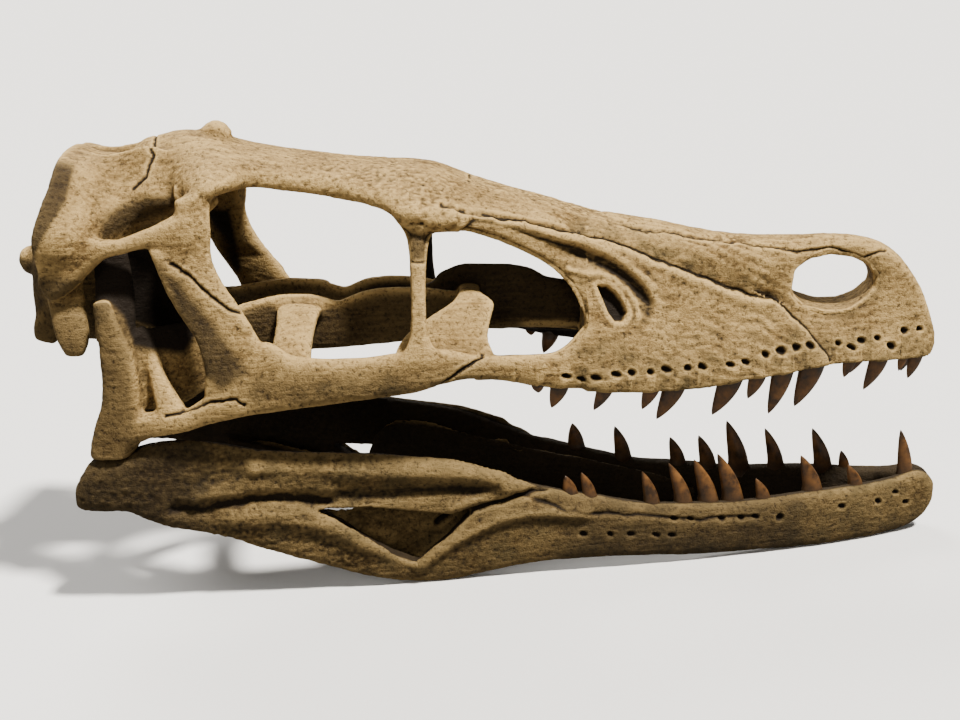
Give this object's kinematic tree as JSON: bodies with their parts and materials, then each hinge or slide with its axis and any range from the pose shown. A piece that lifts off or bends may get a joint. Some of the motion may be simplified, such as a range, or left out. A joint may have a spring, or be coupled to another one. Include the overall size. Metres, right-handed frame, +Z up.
{
  "type": "dinosaur skull fossil",
  "caption": "Life-size fossil skull of a small meat-eating dinosaur with open jaws and recurved teeth, resting on its lower jaw.",
  "frame": {"origin": "middle of the bounding box, on the ground that the lower jaw rests on", "axes": "+X towards the snout, +Y to the animal's left, +Z up"},
  "size_m": [0.2604, 0.0722, 0.1307],
  "materials": {
    "fossil_bone": "matte, fine-pored fossil bone, warm tan with darker crevices",
    "stained_bone": "matte, fine-pored fossil bone, stained dark brown"
  },
  "bodies": {
    "root": {"angular_left": "stained_bone", "angular_right": "stained_bone", "articular_left": "stained_bone", "articular_right": "stained_bone", "braincase": "stained_bone", "dentary_left": "stained_bone", "dentary_right": "stained_bone", "ectopterygoid_left": "fossil_bone", "ectopterygoid_right": "fossil_bone", "frontal_left": "fossil_bone", "frontal_right": "fossil_bone", "jugal_left": "fossil_bone", "jugal_right": "fossil_bone", "lacrimal_left": "fossil_bone", "lacrimal_right": "fossil_bone", "maxilla_left": "fossil_bone", "maxilla_right": "fossil_bone", "nasal_left": "fossil_bone", "nasal_right": "fossil_bone", "palatine_left": "fossil_bone", "palatine_right": "fossil_bone", "parietal": "fossil_bone", "postorbital_left": "fossil_bone", "postorbital_right": "fossil_bone", "premaxilla_left": "fossil_bone", "premaxilla_right": "fossil_bone", "pterygoid_left": "stained_bone", "pterygoid_right": "stained_bone", "quadrate_left": "fossil_bone", "quadrate_right": "fossil_bone", "quadratojugal_left": "fossil_bone", "quadratojugal_right": "fossil_bone", "splenial_left": "stained_bone", "splenial_right": "stained_bone", "squamosal_left": "fossil_bone", "squamosal_right": "fossil_bone", "surangular_left": "stained_bone", "surangular_right": "stained_bone", "vomer": "stained_bone"}
  },
  "joints": []
}
